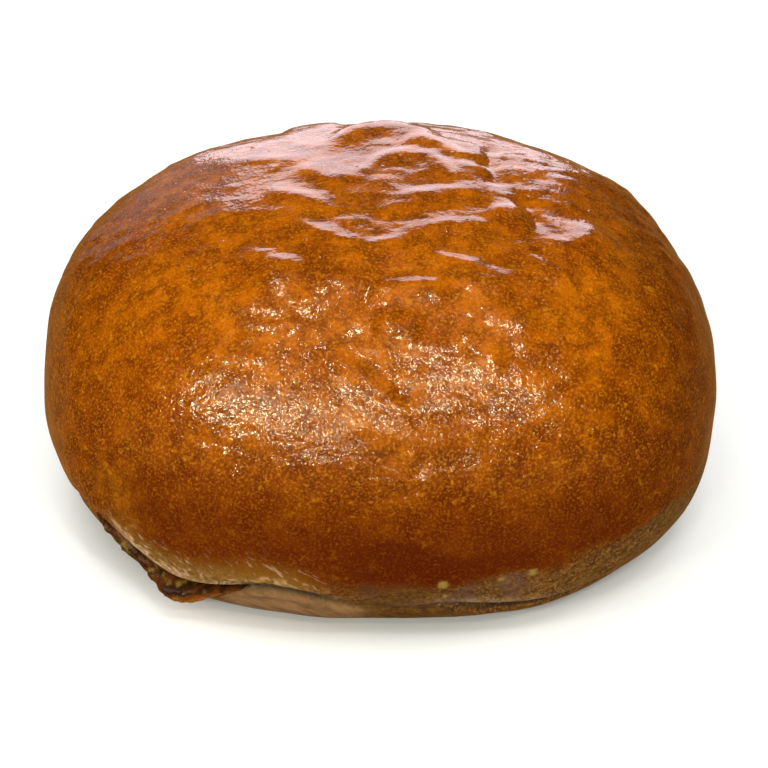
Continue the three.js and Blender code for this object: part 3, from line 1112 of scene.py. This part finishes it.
def torn_colour(tree):
    torn = mixed(tree, mottled(tree, TORN_FIBRES), TORN_TAN, TORN_PALE)
    patches = product(tree, mask_value(tree, "torn_edge"), mottled(tree, TORN_PATCHES))
    return mixed(tree, patches, torn, TORN_OLIVE)


def skin_colour(tree):
    """The crust over the foot, and on them the lip, the torn rim and its fibres, the marks, and painted
    shade in the crease.
    """
    skin = mixed(tree, mask_value(tree, "pale"), crust_colour(tree), foot_colour(tree))
    skin = mixed(tree, mask_value(tree, "lip"), skin, lip_colour(tree))
    skin = mixed(tree, masked(tree, "frayed", 0, FRAYED_SHARE), skin, FRAYED_OLIVE)
    strands = product(tree, mottled(tree, FRAYED_STRANDS), mask_value(tree, "frayed"))
    skin = mixed(tree, strands, skin, TORN_PALE)
    skin = mixed(tree, mask_value(tree, "torn"), skin, torn_colour(tree))
    skin = mixed(tree, mask_value(tree, "spot"), skin, SPOT_YELLOW)
    # painted shade in the crease
    skin = mixed(tree, mask_value(tree, "shaded_crack"), skin, CRACK_SHADE_COLOUR)
    return mixed(tree, mask_value(tree, "crumb"), skin, TORN_TAN)


def domes(tree, spacing, share):
    """Small domes at uneven places, their radius a share of their spacing, and a chance for each."""
    cells = tree.nodes.new("ShaderNodeTexVoronoi")
    put(tree, cells.inputs["Vector"], object_coords(tree))
    put(tree, cells.inputs["Scale"], 1 / (spacing * MM))
    return remap(tree, cells.outputs["Distance"], 0, share, 1, 0), cells.outputs["Color"]


def skin_relief(tree):
    """Normal of the skin: fine peel, dulled where the glaze is polished, and tiny pimples."""
    rough = masked(tree, "polished", 1, POLISHED_RELIEF)
    rough = product(tree, rough, masked(tree, "pale", 1, FOOT_RELIEF))
    glazed = mask_value(tree, "glazed")
    rough = product(tree, rough, remap(tree, glazed, LEAST_GLAZE, 1, DULL_RELIEF, 1))
    peel, _ = domes(tree, PEEL_SPACING, PEEL_SHARE)
    normal = bumped(tree, product(tree, peel, rough), PEEL_RISE)
    for size, rise in ((GRAIN_SIZE, GRAIN_RISE), (RIPPLE_SIZE, RIPPLE_RISE)):
        normal = bumped(tree, product(tree, noise_texture(tree, size), rough), rise, normal)
    pimples, chance = domes(tree, PIMPLE_SPACING, PIMPLE_SHARE)
    chosen = product(tree, remap(tree, chance, *PIMPLE_CHANCE), glazed)
    return bumped(tree, product(tree, pimples, chosen), PIMPLE_RISE, normal)


def crust_material():
    material, tree = new_material("glazed_crust")
    shader = tree.nodes["Principled BSDF"]
    put(tree, shader.inputs["Base Color"], skin_colour(tree))
    dullness = masked(tree, "lip", 1, LIP_DULLNESS)
    roughness = product(tree, masked(tree, "pale", *SKIN_ROUGHNESS), dullness)
    put(tree, shader.inputs["Roughness"], roughness)
    put(tree, shader.inputs["Specular IOR Level"], SKIN_SPECULAR)
    put(tree, shader.inputs["Specular Tint"], SKIN_SPECULAR_TINT)
    coat = product(tree, masked(tree, "pale", *COAT_WEIGHTS), mask_value(tree, "glazed"))
    put(tree, shader.inputs["Coat Weight"], coat)
    put(tree, shader.inputs["Coat Roughness"], COAT_ROUGHNESS)
    put(tree, shader.inputs["Coat IOR"], COAT_IOR)
    relief = skin_relief(tree)
    put(tree, shader.inputs["Normal"], relief)
    put(tree, shader.inputs["Coat Normal"], relief)
    return material


def filling_material():
    material, tree = new_material("wet_filling")
    shader = tree.nodes["Principled BSDF"]
    wet = mixed(tree, mottled(tree, WET_DEPTH), WET_DARK, WET_BROWN)
    wet = mixed(tree, mottled(tree, WET_BITS), wet, WET_OLIVE)
    wet = mixed(tree, mask_value(tree, "amber"), wet, WET_AMBER)
    put(tree, shader.inputs["Base Color"], wet)
    put(tree, shader.inputs["Roughness"], mottled(tree, WET_ROUGHNESS))
    put(tree, shader.inputs["Specular IOR Level"], WET_SPECULAR)
    bits = noise_texture(tree, WET_GRAIN_SIZE, WET_GRAIN_DETAIL, WET_GRAIN_ROUGHNESS)
    put(tree, shader.inputs["Normal"], bumped(tree, bits, WET_GRAIN_RISE))
    return material


def from_bun(tree):
    """Distance from the bun's middle over the half widths of its shade."""
    half_width, half_depth = SHADE_HALF_WIDTHS
    mapping = tree.nodes.new("ShaderNodeMapping")
    mapping.vector_type = "TEXTURE"
    put(tree, mapping.inputs["Vector"], tree.nodes.new("ShaderNodeTexCoord").outputs["Object"])
    put(tree, mapping.inputs["Scale"], (half_width * MM, half_depth * MM, 1))
    length = tree.nodes.new("ShaderNodeVectorMath")
    length.operation = "LENGTH"
    put(tree, length.inputs[0], mapping.outputs["Vector"])
    return length.outputs["Value"]


def floor_material():
    material, tree = new_material("pale_floor")
    shader = tree.nodes["Principled BSDF"]
    tone = mixed(tree, noise_texture(tree, FLOOR_CLOUD_SIZE, FLOOR_CLOUD_DETAIL), *FLOOR_TONES)
    put(tree, shader.inputs["Base Color"], tone)
    put(tree, shader.inputs["Roughness"], FLOOR_ROUGHNESS)
    put(tree, shader.inputs["Specular IOR Level"], 0)
    put(tree, shader.inputs["Emission Color"], FLOOR_LIGHT)
    put(tree, shader.inputs["Emission Strength"], remap(tree, from_bun(tree), *SHADE_EDGE, *FLOOR_GLOW))
    return material


# The stage

FLOOR_HALF = 4000
LIT_PLACE = (0, 0, 30)
ROOM_DARK = colour(0.015, 0.0144, 0.0138)
ROOM_WARM = colour(0.3, 0.14, 0.04)
WARM_BEHIND = (0.2, 0.7)  # along +Y of a direction
WARM_BELOW = (-0.2, 0)  # along +Z of it
LAMP_DISTANCE = 900
LAMP_RADIANCE = 62
LAMP_TINT = (1, 0.95, 0.76)
WINDOW_TINT = (1, 0.94, 0.72)
PANEL_TINT = (1, 0.83, 0.92)
OVERHEAD_TINT = (1, 0.97, 0.94)

# Lights that the front of the glaze mirrors
Lamp = namedtuple(
    "Lamp", "name bearing elevation size radiance tint", defaults=(LAMP_RADIANCE, LAMP_TINT)
)
LAMPS = (
    Lamp("left_lamp", -132, 29, (104, 72)),
    Lamp("upper_left_lamp", -142, 50, (56, 56)),
    Lamp("key", -108, 36, (64, 64)),
    Lamp("low_lamp", -105, 16, (80, 48)),
    Lamp("low_right_lamp", -84, 15, (40, 40)),
    Lamp("right_lamp", -70, 50, (88, 64)),
    Lamp("far_right_lamp", -57, 33, (48, 48)),
    Lamp("top_left_lamp", 160, 76, (40, 40)),
    Lamp("top_lamp", -88, 70, (48, 48)),
    Lamp("top_right_lamp", -57, 65, (45, 45)),
    Lamp("front_window", -112, 38, (700, 420), 1.2, WINDOW_TINT),
)

# Lights that the top mirrors, and one from above that is not mirrored
Panel = namedtuple("Panel", "name place size radiance tint")
PANELS = (
    Panel("back_panel", (7, 720, 160), (395, 404), 2.0, PANEL_TINT),
    Panel("side_panel", (-335, 710, 140), (290, 440), 0.28, PANEL_TINT),
)
OVERHEAD = Panel("overhead", (0, -40, 800), (700, 700), 2.8, OVERHEAD_TINT)


def make_floor():
    corners = FLOOR_HALF * np.array([[-1, -1, 0], [1, -1, 0], [1, 1, 0], [-1, 1, 0]])
    floor = new_object("floor", new_mesh("floor", corners, np.array([[0, 1, 2, 3]])))
    floor.data.materials.append(floor_material())
    floor.visible_glossy = False


def aim(thing, place, target):
    thing.location = Vector(place) * MM
    away = Vector(place) - Vector(target)
    thing.rotation_mode = "QUATERNION"
    thing.rotation_quaternion = away.to_track_quat("Z", "Y")


def make_light(panel):
    """A soft rectangular light of an even radiance, aimed at the bun."""
    width, height = panel.size
    light = bpy.data.lights.new(panel.name, "AREA")
    light.shape = "RECTANGLE"
    light.size = width * MM
    light.size_y = height * MM
    light.energy = panel.radiance * math.pi * light.size * light.size_y
    light.color = panel.tint
    made = new_object(panel.name, light)
    made.visible_camera = False
    aim(made, panel.place, LIT_PLACE)
    return made


def from_bearing(bearing, elevation, distance):
    turn = math.radians(bearing)
    rise = math.radians(elevation)
    level = distance * math.cos(rise)
    return (level * math.cos(turn), level * math.sin(turn), distance * math.sin(rise))


def make_lights():
    for lamp in LAMPS:
        place = from_bearing(lamp.bearing, lamp.elevation, LAMP_DISTANCE)
        make_light(Panel(lamp.name, place, lamp.size, lamp.radiance, lamp.tint))
    for panel in PANELS:
        make_light(panel)
    overhead = make_light(OVERHEAD)
    overhead.visible_glossy = False


def make_world():
    """A dark room, warm and lighter below and behind, which the skin mirrors along its outline."""
    world = bpy.data.worlds.new("room")
    world.use_nodes = True
    bpy.context.scene.world = world
    tree = world.node_tree
    direction = tree.nodes.new("ShaderNodeSeparateXYZ")
    put(tree, direction.inputs["Vector"], tree.nodes.new("ShaderNodeTexCoord").outputs["Generated"])
    behind = remap(tree, direction.outputs["Y"], *WARM_BEHIND)
    below = remap(tree, direction.outputs["Z"], *WARM_BELOW, 1, 0)
    room = mixed(tree, product(tree, behind, below), ROOM_DARK, ROOM_WARM)
    put(tree, tree.nodes["Background"].inputs["Color"], room)


def make_camera():
    elevation = math.radians(CAMERA_ELEVATION)
    back = Vector((0, -math.cos(elevation), math.sin(elevation)))
    lens = bpy.data.cameras.new("camera")
    lens.sensor_width = SENSOR_WIDTH
    lens.lens = SENSOR_WIDTH * FOCAL_PIXELS / FRAME_PIXELS
    lens.clip_start = CLIP_START * MM
    lens.clip_end = CLIP_END * MM
    camera = new_object("camera", lens)
    aim(camera, Vector(CAMERA_AIM) + back * CAMERA_DISTANCE, CAMERA_AIM)
    bpy.context.scene.camera = camera


def dress(piece, node, material):
    piece.data.materials.clear()
    piece.data.materials.append(material)
    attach(piece, "root")
    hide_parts(node)


bpy.context.scene.view_settings.view_transform = "Standard"
make_camera()
make_world()
make_lights()
make_floor()
dress(make_bun(), "bun", crust_material())
dress(make_filling(), "filling", filling_material())
